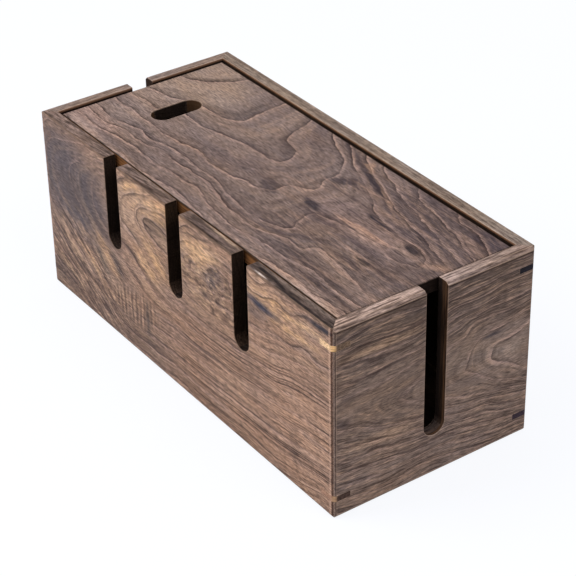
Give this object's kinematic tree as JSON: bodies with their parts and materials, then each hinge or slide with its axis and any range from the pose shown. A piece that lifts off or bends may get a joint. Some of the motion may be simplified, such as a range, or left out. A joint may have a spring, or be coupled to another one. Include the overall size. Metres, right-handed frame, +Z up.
{
  "type": "cable management box",
  "caption": "Long wooden box with mitred, splined corners, U-shaped cable slots in the front and both ends, and a drop-in lid with a finger slot.",
  "frame": {"origin": "middle of the underside, on the surface that the box stands on", "axes": "+X to the right along the front wall, which has the three slots; +Y to the back wall; +Z up"},
  "size_m": [0.4, 0.182, 0.164],
  "materials": {
    "walnut_walls": "satin oil",
    "walnut_lid": "satin oil",
    "key_wood": "satin oil",
    "plywood_bottom": "matt",
    "cleat_wood": "satin oil"
  },
  "bodies": {
    "box": {"front_wall": "walnut_walls", "back_wall": "walnut_walls", "right_end_wall": "walnut_walls", "left_end_wall": "walnut_walls", "bottom_panel": "plywood_bottom", "corner_key_front_left_upper": "key_wood", "corner_key_front_left_lower": "key_wood", "corner_key_front_right_upper": "key_wood", "corner_key_front_right_lower": "key_wood", "corner_key_back_right_upper": "key_wood", "corner_key_back_right_lower": "key_wood", "corner_key_back_left_upper": "key_wood", "corner_key_back_left_lower": "key_wood", "lid_cleat_left_front": "cleat_wood", "lid_cleat_left_back": "cleat_wood", "lid_cleat_right_front": "cleat_wood", "lid_cleat_right_back": "cleat_wood"},
    "lid": {"lid": "walnut_lid"}
  },
  "joints": [
    {"name": "lid_lift", "type": "slide", "parent": "box", "child": "lid", "axis": [0, 0, 1], "range_m": [0, 0.08]}
  ]
}
